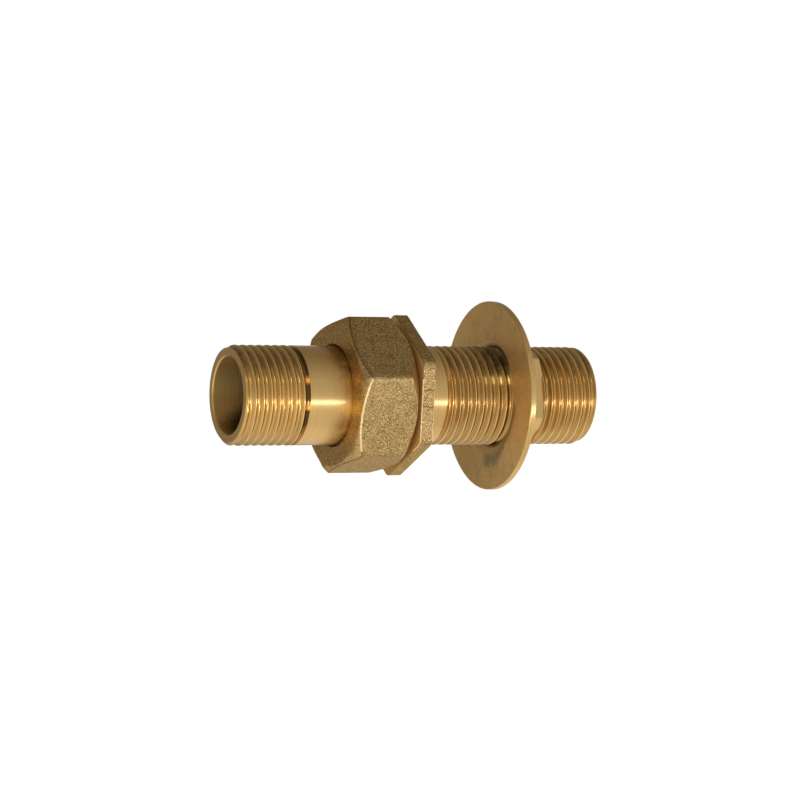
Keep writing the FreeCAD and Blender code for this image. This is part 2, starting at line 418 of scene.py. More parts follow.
class Nodes:
    """Short hand for building one node tree."""

    def __init__(self, tree: bpy.types.NodeTree) -> None:
        """Take over the tree of a material or of the world."""
        self.tree = tree

    def add(self, kind: str, **settings: object) -> bpy.types.Node:
        """Add a node and set its properties."""
        node = self.tree.nodes.new(kind)
        for key, value in settings.items():
            setattr(node, key, value)
        return node

    def feed(self, socket: Socket, source: object) -> None:
        """Link a socket to another one, or set its constant."""
        if isinstance(source, Socket):
            self.tree.links.new(source, socket)
        else:
            socket.default_value = source

    def math(self, operation: str, *values: Value, clamp: bool = False) -> Socket:
        """Add a maths node.

        Args:
            operation: the node's operation.
            values: sockets or numbers, in order.
            clamp: whether the result is held between 0 and 1.

        Returns:
            The result's socket.
        """
        node = self.add("ShaderNodeMath", operation=operation, use_clamp=clamp)
        for socket, value in zip(node.inputs, values):
            self.feed(socket, value)
        return node.outputs[0]

    def fold(self, operation: str, *values: Value) -> Socket:
        """Join several values by one operation, two at a time."""
        return reduce(lambda one, other: self.math(operation, one, other), values)

    def away(self, value: Value, middle: Value) -> Socket:
        """Give a value's distance from a middle one."""
        return self.math("ABSOLUTE", self.math("SUBTRACT", value, middle))

    def facing(self, way: Socket, direction: Sequence[float]) -> Socket:
        """Give the cosine between a direction's socket and a fixed direction.

        Args:
            way: the direction's socket.
            direction: the fixed direction, of length 1.

        Returns:
            The cosine's socket.
        """
        node = self.add("ShaderNodeVectorMath", operation="DOT_PRODUCT")
        self.feed(node.inputs[0], way)
        self.feed(node.inputs[1], direction)
        return node.outputs["Value"]

    def between(self, value: Value, span: Span, first: float, last: float, even: bool = False) -> Socket:
        """Map a span on a range of results.

        Args:
            value: the input's socket.
            span: inputs that give the first and the last result.
            first: result at the span's start.
            last: result at the span's end.
            even: whether the change is straight instead of smooth.

        Returns:
            The mapped value's socket.
        """
        node = self.add("ShaderNodeMapRange", interpolation_type="LINEAR" if even else "SMOOTHSTEP")
        for key, number in zip(("From Min", "From Max", "To Min", "To Max"), (*span, first, last)):
            node.inputs[key].default_value = number
        self.feed(node.inputs["Value"], value)
        return node.outputs["Result"]

    def band(self, value: Value, rise: Span, fall: Span) -> Socket:
        """Give 1 from a rise to a fall, and 0 before and after them."""
        return self.math("MULTIPLY", self.between(value, rise, 0, 1), self.between(value, fall, 1, 0))

    def blend(self, share: Value, first: Tint, second: Tint) -> Socket:
        """Mix two colours.

        Args:
            share: how much of the second one.
            first: a colour or its socket.
            second: a colour or its socket.

        Returns:
            The mixed colour's socket.
        """
        node = self.add("ShaderNodeMix", data_type="RGBA")
        self.feed(node.inputs["Factor"], share)
        for key, colour in (("A", first), ("B", second)):
            socket = next(item for item in node.inputs if item.name == key and item.type == "RGBA")
            self.feed(socket, colour if isinstance(colour, Socket) else (*colour, 1.0))
        return next(item for item in node.outputs if item.type == "RGBA")


class Paint(Nodes):
    """Node tree of one material, with the coordinates of the piece that wears it."""

    def __init__(self, name: str) -> None:
        """Start a material with one principled shader.

        Args:
            name: the material's name.
        """
        self.material = bpy.data.materials.new(name)
        self.material.use_nodes = True
        super().__init__(self.material.node_tree)
        self.shader = next(node for node in self.tree.nodes if node.type == "BSDF_PRINCIPLED")
        self.whole = self.add("ShaderNodeTexCoord").outputs["Object"]
        apart = self.add("ShaderNodeSeparateXYZ")
        self.feed(apart.inputs[0], self.whole)
        self.x, self.y, self.z = apart.outputs

    def shade(self, inputs: dict[str, object]) -> Material:
        """Set the shader's inputs.

        Args:
            inputs: a constant or a socket for each input's name.

        Returns:
            The finished material.
        """
        for key, source in inputs.items():
            self.feed(self.shader.inputs[key], source)
        return self.material

    def noise(self, scale: float, detail: float = 2.0, rough: float = 0.5) -> Socket:
        """Add three-dimensional noise.

        Args:
            scale: cells in each metre.
            detail: octaves.
            rough: share of each finer octave.

        Returns:
            The noise's socket.
        """
        node = self.add("ShaderNodeTexNoise", noise_dimensions="3D")
        self.feed(node.inputs["Vector"], self.whole)
        for key, number in (("Scale", scale), ("Detail", detail), ("Roughness", rough)):
            node.inputs[key].default_value = number
        return node.outputs["Fac"]

    def patches(self, patch: Patch) -> Socket:
        """Give the share that soft patches take at each place."""
        return self.between(self.noise(patch.scale, patch.detail, patch.rough), patch.span, *patch.share)

    def lines(self, along: Socket, scale: float, detail: float) -> Socket:
        """Add noise along one coordinate, as a tool's fine lines.

        Args:
            along: the coordinate's socket.
            scale: cells in each metre.
            detail: octaves.

        Returns:
            The noise's socket.
        """
        node = self.add("ShaderNodeTexNoise", noise_dimensions="1D")
        self.feed(node.inputs["W"], along)
        for key, number in (("Scale", scale), ("Detail", detail)):
            node.inputs[key].default_value = number
        return node.outputs["Fac"]

    def bump(self, height: Socket, reach: float, before: Socket | None = None) -> Socket:
        """Turn a height into a surface direction.

        Args:
            height: the height's socket.
            reach: depth in metres of a height of 1.
            before: direction that this one is laid over.

        Returns:
            The direction's socket.
        """
        node = self.add("ShaderNodeBump")
        node.inputs["Strength"].default_value = 1.0
        node.inputs["Distance"].default_value = reach
        self.feed(node.inputs["Height"], height)
        if before is not None:
            self.feed(node.inputs["Normal"], before)
        return node.outputs["Normal"]

    def from_axis(self) -> Socket:
        """Give the distance from the bore's axis."""
        squares = [self.math("MULTIPLY", side, side) for side in (self.y, self.z)]
        return self.math("SQRT", self.math("ADD", *squares))

    def round_axis(self) -> Socket:
        """Give the direction of the tool's lines, round the bore.

        Returns:
            The direction's socket.
        """
        around = self.add("ShaderNodeCombineXYZ")
        self.feed(around.inputs[1], self.math("MULTIPLY", self.z, -1.0))
        self.feed(around.inputs[2], self.y)
        turned = self.add(
            "ShaderNodeVectorTransform", vector_type="VECTOR", convert_from="OBJECT", convert_to="WORLD"
        )
        self.feed(turned.inputs[0], around.outputs[0])
        unit = self.add("ShaderNodeVectorMath", operation="NORMALIZE")
        self.feed(unit.inputs[0], turned.outputs[0])
        return unit.outputs[0]


@dataclass(frozen=True)
class TurnedBrass:
    """Brass as a lathe tool leaves it: fine lines round the bore that draw its highlights out along it."""

    name: str
    colour: Colour = (0.76, 0.515, 0.21)
    shadow: Colour = (0.69, 0.45, 0.175)
    roughness: float = 0.3
    roughness_swing: float = 0.05
    anisotropy: float = 0.8
    metal: float = 1.0
    edge: Colour = (1.0, 1.0, 1.0)
    line_scale: float = 14000
    line_depth: float = 1.2e-6
    broad_scale: float = 2600
    broad_depth: float = 4.0e-6
    cloud_scale: float = 160

    def material(self) -> Material:
        """Build the material.

        Returns:
            The material.
        """
        paint = Paint(self.name)
        along = paint.math("ADD", paint.x, paint.from_axis())
        fine = paint.lines(along, self.line_scale, 3)
        broad = paint.lines(along, self.broad_scale, 2)
        cloud = paint.math("MULTIPLY", paint.noise(self.cloud_scale, 3), 0.5)
        mixed = paint.between(paint.math("MULTIPLY_ADD", broad, 0.5, cloud), (0.3, 0.7), 0, 1)
        least, most = self.roughness - self.roughness_swing, self.roughness + self.roughness_swing
        return paint.shade(
            {
                "Metallic": self.metal,
                "Specular Tint": (*self.edge, 1.0),
                "Anisotropic": self.anisotropy,
                "Anisotropic Rotation": 0.25,
                "Base Color": self.tone(paint, paint.blend(mixed, self.shadow, self.colour)),
                "Roughness": paint.between(fine, (0.25, 0.75), least, most),
                "Tangent": paint.round_axis(),
                "Normal": paint.bump(fine, self.line_depth, paint.bump(broad, self.broad_depth)),
            }
        )

    def tone(self, paint: Paint, brass: Socket) -> Socket:
        """Leave the brass as it is."""
        return brass


@dataclass(frozen=True)
class ShankBrass(TurnedBrass):
    """Turned brass of the plain shanks, with brown painted shade where the tailpiece goes into the nut."""

    painted_shade: Colour = (0.34, 0.21, 0.08)
    painted_shade_start: Span = (-22.0 * MM, -17.0 * MM)
    painted_shade_end: Span = (-14.0 * MM, -13.0 * MM)
    clear_height: float = -1.0 * MM
    clear_width: Span = (1.0 * MM, 7.0 * MM)
    patch: Patch = Patch(240, 3, 0.6, (0.38, 0.58), (0.25, 0.95))

    def tone(self, paint: Paint, brass: Socket) -> Socket:
        """Lay the painted shade over the brass.

        Args:
            paint: the material.
            brass: the clean brass's colour.

        Returns:
            The smudged colour's socket.
        """
        # Painted shade: brown patches beside the nut, left off the band of the key highlight.
        near = paint.band(paint.x, self.painted_shade_start, self.painted_shade_end)
        ends = paint.between(paint.away(paint.z, self.clear_height), self.clear_width, 0.1, 1)
        share = paint.fold("MULTIPLY", near, ends, paint.patches(self.patch))
        return paint.blend(share, brass, self.painted_shade)


@dataclass(frozen=True)
class FlangeBrass(TurnedBrass):
    """Turned brass of the flange, its front clouded and darkened grey-green in a ragged crescent beside its
    hole.
    """

    dark_crescent: Colour = (0.25, 0.2, 0.1)
    crescent_start: Span = (math.radians(2), math.radians(14))
    crescent_end: Span = (math.radians(90), math.radians(104))
    crescent_bend: Span = (math.radians(50), math.radians(80))
    crescent_radius: Span = (12.5 * MM, 13.7 * MM)
    crescent_width: Span = (1.0 * MM, 2.5 * MM)
    crescent_edge: Span = (0.05, 0.8)
    crescent_share: float = 0.7
    ragged_gain: float = 1.7
    ragged_shift: float = -0.78
    cloud: Patch = Patch(420, 5, 0.65, (0.45, 0.72), (0, 0.24))
    specks: Patch = Patch(1700, 2, 0.5, (0.66, 0.74), (0, 0.5))
    front_start: Span = (19.4 * MM, 19.6 * MM)
    front_end: Span = (20.4 * MM, 20.6 * MM)

    def tone(self, paint: Paint, brass: Socket) -> Socket:
        """Lay the grey-green crescent and the clouding over the brass.

        Args:
            paint: the material.
            brass: the clean brass's colour.

        Returns:
            The stained colour's socket.
        """
        # A ragged grey-green darkening in a crescent on the front face, beside the hole towards its lower
        # side.
        turn = paint.math("ARCTAN2", *(paint.math("MULTIPLY", side, -1.0) for side in (paint.z, paint.y)))
        width = paint.between(turn, self.crescent_bend, *self.crescent_width)
        off = paint.away(paint.from_axis(), paint.between(turn, self.crescent_bend, *self.crescent_radius))
        ragged = paint.math("MULTIPLY_ADD", paint.noise(850, 4, 0.7), self.ragged_gain, self.ragged_shift)
        inside = paint.math("ADD", paint.math("SUBTRACT", 1.0, paint.math("DIVIDE", off, width)), ragged)
        front = paint.band(paint.x, self.front_start, self.front_end)
        sector = paint.band(turn, self.crescent_start, self.crescent_end)
        darkened = paint.between(inside, self.crescent_edge, 0, self.crescent_share)
        darkened = paint.math("MULTIPLY", darkened, sector)
        spotted = paint.fold("MAXIMUM", darkened, paint.patches(self.cloud), paint.patches(self.specks))
        return paint.blend(paint.math("MULTIPLY", spotted, front), brass, self.dark_crescent)


@dataclass(frozen=True)
class ThreadBrass(TurnedBrass):
    """Turned brass of the threads, with painted highlights on the crests and painted shade in the valleys,
    most of it on top.
    """

    recess_shade: Colour = (0.13, 0.082, 0.03)
    dull_and_shade: Colour = (0.46, 0.275, 0.092)
    flange_shadow: Colour = (0.07, 0.046, 0.018)
    painted_glint: Colour = (1.0, 0.8, 0.33)
    crest_highlight: Colour = (0.98, 0.77, 0.4)
    flank: Span = (9.66 * MM, 10.33 * MM)
    crest: Span = (10.33 * MM, 10.41 * MM)
    body_start: Span = (-1.0 * MM, 1.0 * MM)
    body_lift: float = 2.0 * MM
    oiled_height: Span = (0.5 * MM, 9.0 * MM)
    low_height: Span = (-9.0 * MM, -1.0 * MM)
    shank_shade_start: Span = (3.0 * MM, 9.0 * MM)
    shank_shade_end: Span = (19.0 * MM, 24.0 * MM)
    shank_shade_height: Span = (-1.0 * MM, 4.0 * MM)
    flange_start: Span = (12.0 * MM, 18.5 * MM)
    flange_end: Span = (21.0 * MM, 22.0 * MM)
    flange_shadow_height: Span = (3.6 * MM, 6.5 * MM)
    painted_glint_height: float = 3.2 * MM
    painted_glint_width: Span = (0.4 * MM, 1.3 * MM)
    pitted: Patch = Patch(2400, 3, 0.6, (0.42, 0.68), (0, 0.34))
    ragged: Patch = Patch(380, 3, 0.65, (0.3, 0.62), (0.5, 1))

    def tone(self, paint: Paint, brass: Socket) -> Socket:
        """Paint highlights on the crests and a glint beside the flange, and paint shade in the valleys, low
        down, along the shank and beside the flange.

        Args:
            paint: the material.
            brass: the clean brass's colour.

        Returns:
            The oiled colour's socket.
        """
        reach = paint.from_axis()
        valley = paint.between(reach, self.flank, 1, 0)
        crest = paint.between(reach, self.crest, 0, 0.6)
        raised = paint.math("ADD", paint.z, paint.between(paint.x, self.body_start, 0, self.body_lift))
        # Painted shade is heavier towards the top.
        upper = paint.between(raised, self.oiled_height, 0.02, 0.74)
        # Painted shade along the body's shank stretch, heavier low down.
        shank_shade = paint.fold(
            "MULTIPLY",
            paint.between(paint.x, self.shank_shade_start, 0, 1),
            paint.between(paint.x, self.shank_shade_end, 0.88, 0.62),
            paint.between(paint.z, self.shank_shade_height, 1, 0.3),
        )
        # Painted shade: darker towards the bottom.
        low = paint.between(paint.z, self.low_height, 0.5, 0)
        beside = paint.band(paint.x, self.flange_start, self.flange_end)
        painted_shade = paint.between(paint.z, self.flange_shadow_height, 0, 0.9)
        # Painted glint: a light band in the valleys beside the flange, at one height.
        painted_glint = paint.between(paint.away(paint.z, self.painted_glint_height), self.painted_glint_width, 1, 0)
        ragged = paint.patches(self.ragged)
        # Random pits are real dull brass; the low and shank parts are painted shade.
        pits_and_shade = paint.fold("MAXIMUM", paint.patches(self.pitted), low, shank_shade)
        brass = paint.blend(pits_and_shade, brass, self.dull_and_shade)
        # Painted highlight: the crests lightened into pale lines.
        brass = paint.blend(crest, brass, self.crest_highlight)
        # Painted shade in the valleys, most of it on top, in ragged patches.
        brass = paint.blend(paint.fold("MULTIPLY", valley, upper, ragged), brass, self.recess_shade)
        brass = paint.blend(paint.fold("MULTIPLY", beside, painted_glint, valley), brass, self.painted_glint)
        # Painted shadow on the upper threads beside the flange.
        return paint.blend(paint.fold("MULTIPLY", beside, painted_shade, ragged), brass, self.flange_shadow)


@dataclass(frozen=True)
class GrooveBrass(TurnedBrass):
    """Turned brass of the relief groove, darkened with painted shade apart from two gaps where it catches
    glints, and its lowest part.
    """

    recess_shade: Colour = (0.07, 0.05, 0.022)
    shade_foot: Span = (-6.5 * MM, -4.5 * MM)
    glint_gaps: tuple[float, ...] = (3.2 * MM, -2.2 * MM)
    glint_gap_width: Span = (0.5 * MM, 1.2 * MM)
    wander: float = 3.0 * MM

    def tone(self, paint: Paint, brass: Socket) -> Socket:
        """Paint shade in the groove, less and less towards its lowest part.

        Args:
            paint: the material.
            brass: the clean brass's colour.

        Returns:
            The oiled colour's socket.
        """
        # Painted shade in the groove, fading out near its foot.
        ragged = paint.math("MULTIPLY_ADD", paint.noise(600), self.wander, paint.z)
        shaded = paint.between(ragged, self.shade_foot, 0, 0.9)
        # Gaps in the painted shade where the groove shows glints.
        for height in self.glint_gaps:
            off = paint.away(paint.z, height)
            shaded = paint.math("MULTIPLY", shaded, paint.between(off, self.glint_gap_width, 0.1, 1))
        return paint.blend(shaded, brass, self.recess_shade)


@dataclass(frozen=True)
class BoreBrass(TurnedBrass):
    """Turned brass of the waterway, with painted shade deeper in and along its lower side."""

    bore_shade: Colour = (0.03, 0.02, 0.008)
    mouth: float = 40.7 * MM
    middle: float = 0.4 * MM
    low_height: Span = (-7.0 * MM, 1.0 * MM)
    low_lead: float = 9.0 * MM
    wander: float = 2.0 * MM
    bore_shade_depth: Span = (7.5 * MM, 15.0 * MM)

    def tone(self, paint: Paint, brass: Socket) -> Socket:
        """Darken the brass away from the mouths.

        Args:
            paint: the material.
            brass: the clean brass's colour.

        Returns:
            The tarnished colour's socket.
        """
        # Painted shade: darker away from the mouths and along the lower side, in streaks.
        depth = paint.math("SUBTRACT", self.mouth, paint.away(paint.x, self.middle))
        low = paint.between(paint.z, self.low_height, 1, 0)
        streak = paint.math("MULTIPLY", paint.noise(700, 3, 0.6), self.wander)
        deep = paint.math("ADD", paint.math("MULTIPLY_ADD", low, self.low_lead, depth), streak)
        return paint.blend(paint.between(deep, self.bore_shade_depth, 0, 0.95), brass, self.bore_shade)


@dataclass(frozen=True)
class ForgedBrass:
    """Brass as it comes from the die and the shot blast: an even grain, its sparkle given as painted glints.
    """

    name: str
    colour: Colour = (0.57, 0.37, 0.142)
    shadow: Colour = (0.14, 0.088, 0.033)
    glint_fleck: Colour = (1.0, 0.8, 0.42)
    roughness: float = 0.4
    grain: float = 4600
    depth: float = 42e-6
    patch_share: float = 0.14
    edge: Colour = (0.97, 0.84, 0.64)
    seams: tuple[float, ...] = ()
    seam_start: Span = (-3.3 * MM, -3.1 * MM)
    seam_width: Span = (0.05 * MM, 0.17 * MM)
    seam_wander: float = 0.6 * MM

    def material(self) -> Material:
        """Build the material.

        Returns:
            The material.
        """
        paint = Paint(self.name)
        grain = paint.noise(self.grain, 2, 0.55)
        patch = paint.noise(420, 3, 0.6)
        uneven = paint.math("MULTIPLY", patch, self.patch_share)
        mixed = paint.math("MULTIPLY_ADD", grain, 1 - self.patch_share, uneven)
        brass = paint.blend(paint.between(mixed, (0.35, 0.64), 0, 1), self.shadow, self.colour)
        # Painted glints: small light specks that stand in for the grain's sparkle.
        grain_glints = paint.between(paint.noise(self.grain * 1.2, 1), (0.6, 0.7), 0, 1)
        brass = paint.blend(grain_glints, brass, self.glint_fleck)
        for height in self.seams:
            level = paint.math("MULTIPLY_ADD", paint.noise(500), self.seam_wander, paint.z)
            off = paint.away(level, height + self.seam_wander / 2)
            seam = paint.math(
                "MULTIPLY",
                paint.between(off, self.seam_width, 0.85, 0),
                paint.between(paint.x, self.seam_start, 0, 1),
            )
            brass = paint.blend(seam, brass, self.shadow)
        return paint.shade(
            {
                "Metallic": 1.0,
                "Specular Tint": (*self.edge, 1.0),
                "Base Color": brass,
                "Roughness": paint.between(patch, (0.3, 0.7), self.roughness - 0.06, self.roughness + 0.08),
                "Normal": paint.bump(grain, self.depth),
            }
        )


@dataclass(frozen=True)
class Rubber:
    """Black rubber of the union's washer."""

    name: str
    colour: Colour = (0.022, 0.021, 0.02)
    bloom: Colour = (0.05, 0.048, 0.045)
    grain_depth: float = 6e-6

    def material(self) -> Material:
        """Build the material.

        Returns:
            The material.
        """
        paint = Paint(self.name)
        dust = paint.noise(900, 4, 0.6)
        return paint.shade(
            {
                "Base Color": paint.blend(paint.between(dust, (0.45, 0.75), 0, 1), self.colour, self.bloom),
                "Roughness": paint.between(dust, (0.3, 0.7), 0.55, 0.75),
                "Normal": paint.bump(paint.noise(5200), self.grain_depth),
            }
        )


FINISHES: dict[Surface, Union[TurnedBrass, ForgedBrass]] = {
    Surface.TURNED: ShankBrass("turned_brass"),
    Surface.FORGED: ForgedBrass("forged_brass", seams=(0.97 * MM, -2.4 * MM)),
    Surface.FACED: FlangeBrass(
        "faced_brass",
        colour=(0.87, 0.592, 0.24),
        shadow=(0.75, 0.492, 0.19),
        roughness=0.5,
        anisotropy=0.5,
        metal=0.8,
        broad_depth=2e-6,
    ),
    Surface.BORED: BoreBrass(
        "bored_brass",
        colour=(0.9, 0.62, 0.255),
        shadow=(0.72, 0.485, 0.195),
        roughness=0.42,
        anisotropy=0.3,
        metal=0.8,
        edge=(0.86, 0.58, 0.24),
    ),
    Surface.THREADED: ThreadBrass(
        "threaded_brass",
        colour=(0.79, 0.505, 0.178),
        shadow=(0.63, 0.39, 0.128),
        roughness=0.26,
        anisotropy=0.55,
        line_depth=0.5e-6,
        broad_depth=1.5e-6,
    ),
    # Lighter brass of worn edges, with a painted highlight.
    Surface.WORN: ForgedBrass(
        "worn_highlit_brass",
        colour=(0.98, 0.76, 0.4),
        shadow=(0.62, 0.42, 0.18),
        glint_fleck=(1.0, 0.88, 0.55),
        roughness=0.34,
        grain=3600,
        depth=40e-6,
    ),
    Surface.CROWNED: ForgedBrass(
        "crowned_brass",
        colour=(0.76, 0.5, 0.21),
        shadow=(0.25, 0.16, 0.064),
        glint_fleck=(0.97, 0.74, 0.38),
        depth=36e-6,
    ),
    Surface.GROOVED: GrooveBrass("grooved_brass", roughness=0.22, anisotropy=0.5),
    # Darker brass: painted shade on edges.
    Surface.EDGED: ForgedBrass(
        "shaded_edge_brass",
        colour=(0.36, 0.235, 0.09),
        shadow=(0.09, 0.056, 0.022),
        glint_fleck=(0.6, 0.42, 0.18),
        roughness=0.42,
        depth=36e-6,
    ),
}


@dataclass
class Tailpiece:
    """Tube with a male thread, a relief groove, a plain shank and the collar that the nut pulls on."""

    end: float = -40.25 * MM
    end_drop: float = 0.57 * MM
    end_chamfer: float = 0.8 * MM
    crest: float = 10.42 * MM
    thread_depth: float = 0.82 * MM
    crest_station: float = -32.84 * MM
    groove_outer: float = -26.5 * MM
    groove_inner: float = -26.1 * MM
    groove: float = 9.9 * MM
    shank: float = 10.38 * MM
    collar_face: float = -14.05 * MM
    collar: float = 12.3 * MM
    seat: float = WASHER_FACE
    bore: float = 8.1 * MM
    bore_chamfer: float = 0.25 * MM
    edge: float = 0.06 * MM
    steps: int = 144

    def build(self) -> Rings:
        """Model the tube.

        Returns:
            The closed shell.
        """
        rings = Rings(self.steps)
        slope = self.end_drop / self.end_chamfer
        rings.thread(
            Thread(self.crest, self.thread_depth, self.end, self.groove_outer, self.crest_station),
            lambda x: min(self.crest, self.crest - self.end_drop + slope * (x - self.end)),
        )
        seat = rings.run(
            rings.rim(self.groove_outer),
            (self.groove_outer, self.groove, Surface.GROOVED),
            (self.groove_inner, self.groove, Surface.GROOVED),
            (self.groove_inner, self.shank, Surface.TURNED),
            (self.collar_face, self.shank, Surface.TURNED),
            (self.collar_face, self.collar, Surface.TURNED),
            (self.seat, self.collar, Surface.TURNED),
        )
        inner = rings.mouth(seat, self.seat, self.bore, -self.bore_chamfer)
        outer = rings.mouth(rings.rim(self.end), self.end, self.bore, self.bore_chamfer)
        rings.join(inner, outer, Surface.BORED)
        rings.soften(self.edge)
        return rings

    def dress(self, materials: Sequence[Material]) -> bpy.types.Object:
        """Make the piece and let it ride on the tail.

        Args:
            materials: one material for each kind of surface.

        Returns:
            The piece.
        """
        piece = self.build().piece("threaded_tailpiece", materials)
        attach(piece, "tail")
        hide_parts("tailpiece")
        return piece


@dataclass
class UnionWasher:
    """Flat rubber ring that seals the union."""

    tail_face: float = WASHER_FACE
    seat: float = UNION_SEAT
    outer: float = 12.1 * MM
    inner: float = 8.5 * MM
    edge: float = 0.18 * MM
    steps: int = 96

    def build(self) -> Rings:
        """Model the ring.

        Returns:
            The closed shell.
        """
        rings = Rings(self.steps)
        start = rings.ring(rings.at(self.tail_face, self.inner))
        rings.run(
            start,
            (self.tail_face, self.outer, Surface.TURNED),
            (self.seat, self.outer, Surface.TURNED),
            (self.seat, self.inner, Surface.TURNED),
            (self.tail_face, self.inner, Surface.TURNED),
        )
        rings.soften(self.edge, 3)
        return rings

    def dress(self, material: Material) -> bpy.types.Object:
        """Make the piece and let it ride on the tail.

        Args:
            material: the rubber.

        Returns:
            The piece.
        """
        piece = self.build().piece("washer_ring", [material])
        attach(piece, "tail")
        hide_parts("union_washer")
        return piece


@dataclass
class UnionNut:
    """Forged hexagon nut, turned at both ends, with a lip behind the collar and a thread inside."""

    outline: Hexagon = Hexagon(15.0 * MM, 1.3 * MM, 48.0)
    tail_face: float = -16.65 * MM
    tail_edge: float = 14.55 * MM
    tail_cone: float = 30.0
    dome_start: float = 0.1
    dome_rise: float = 0.2 / MM
    dome_drop: float = 0.3
    body_face: float = -3.75 * MM
    body_edge: float = 14.9 * MM
    body_cone: float = 45.0
    hole: float = 10.44 * MM
    hole_chamfer: float = 0.4 * MM
    lip_inner: float = -14.15 * MM
    thread_start: float = -13.1 * MM
    minor: float = 13.2 * MM
    thread_depth: float = 0.85 * MM
    relief_step: float = 0.05 * MM
    mouth_chamfer: float = 0.6 * MM
    edge: float = 0.24 * MM
    steps: int = 120

    def build(self) -> Rings:
        """Model the nut.

        Returns:
            The closed shell.
        """
        rings = Rings(self.steps)
        rings.thread(
            Thread(
                self.minor,
                self.thread_depth,
                self.thread_start,
                self.body_face,
                UNION_CREST_STATION,
                inside=True,
            ),
            lambda x: self.minor + max(0.0, x - self.body_face + self.mouth_chamfer),
        )
        relief = self.minor + self.thread_depth + self.relief_step
        lip = rings.run(
            rings.rim(self.thread_start),
            (self.thread_start, relief, Surface.BORED),
            (self.lip_inner, relief, Surface.BORED),
        )
        mouth = rings.rim(self.body_face)
        start = rings.ring(rings.at(self.lip_inner, self.hole), self.outline.crowd)
        edges = rings.run(
            start,
            (self.tail_face + self.hole_chamfer, self.hole, Surface.TURNED),
            (self.tail_face, self.hole + self.hole_chamfer, Surface.TURNED),
            (self.tail_face, self.tail_edge, Surface.CROWNED),
        )
        tail_crown = self.outline.crown(self.tail_face, self.tail_edge, self.tail_cone)
        body_crown = self.outline.crown(self.body_face, self.body_edge, -self.body_cone)
        edges = rings.grow(edges, lambda angle: self.dome(*tail_crown(angle)), Surface.CROWNED)
        edges = rings.grow(edges, tail_crown, Surface.CROWNED)
        edges = rings.grow(edges, body_crown, Surface.FORGED)
        edges = rings.run(edges, (self.body_face, self.body_edge, Surface.TURNED))
        rings.join(edges, mouth, Surface.TURNED)
        rings.join(start, lip, Surface.BORED)
        rings.soften(self.edge, 3, self.at_tail)
        return rings

    def at_tail(self, edge: Edge) -> bool:
        """Tell whether an edge lies where the flats end at the tail's side."""
        sides = {face.material_index for face in edge.link_faces}
        return sides == {Surface.FORGED.value, Surface.CROWNED.value}

    def dome(self, crown: float, radius: float) -> tuple[float, float]:
        """Give the ring where the domed end turns down towards the flats.

        Args:
            crown: station where the flats start in one direction.
            radius: the outline's radius there.

        Returns:
            The ring's station and radius in that direction.
        """
        share = self.dome_start + self.dome_rise * (radius - self.outline.flat)
        station = self.tail_face + self.dome_drop * share * (crown - self.tail_face)
        return station, self.tail_edge + share * (radius - self.tail_edge)

    def dress(self, materials: Sequence[Material]) -> bpy.types.Object:
        """Make the piece and let it turn with the nut.

        Args:
            materials: one material for each kind of surface.

        Returns:
            The piece.
        """
        piece = self.build().piece("hexagon_union_nut", materials)
        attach(piece, "union_nut")
        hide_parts("union_nut")
        return piece


